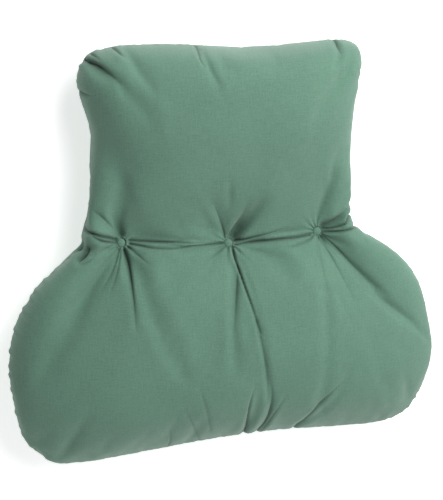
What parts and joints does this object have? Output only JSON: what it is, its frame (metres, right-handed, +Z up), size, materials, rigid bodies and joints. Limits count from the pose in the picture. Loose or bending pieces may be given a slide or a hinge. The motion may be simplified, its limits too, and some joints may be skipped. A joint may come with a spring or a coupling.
{
  "type": "back support cushion with arm wings",
  "caption": "Filled cloth cushion with a head panel, a waist drawn in by covered buttons and a wide lower part with arm wings, to lean on in a chair or in bed.",
  "frame": {"origin": "on the surface that the cushion lies on, below the middle of its outline", "axes": "+X across the arm wings, to the right seen from above; +Y towards the head end; +Z up, out of the buttoned face"},
  "size_m": [0.66, 0.63, 0.146],
  "materials": {
    "cotton_cover": "matt plain-woven cotton, sage green",
    "covered_button": "the same cotton drawn over a button, matt"
  },
  "bodies": {
    "root": {"cushion": "cotton_cover", "tuft_button_left": "covered_button", "tuft_button_middle": "covered_button", "tuft_button_right": "covered_button"}
  },
  "joints": []
}
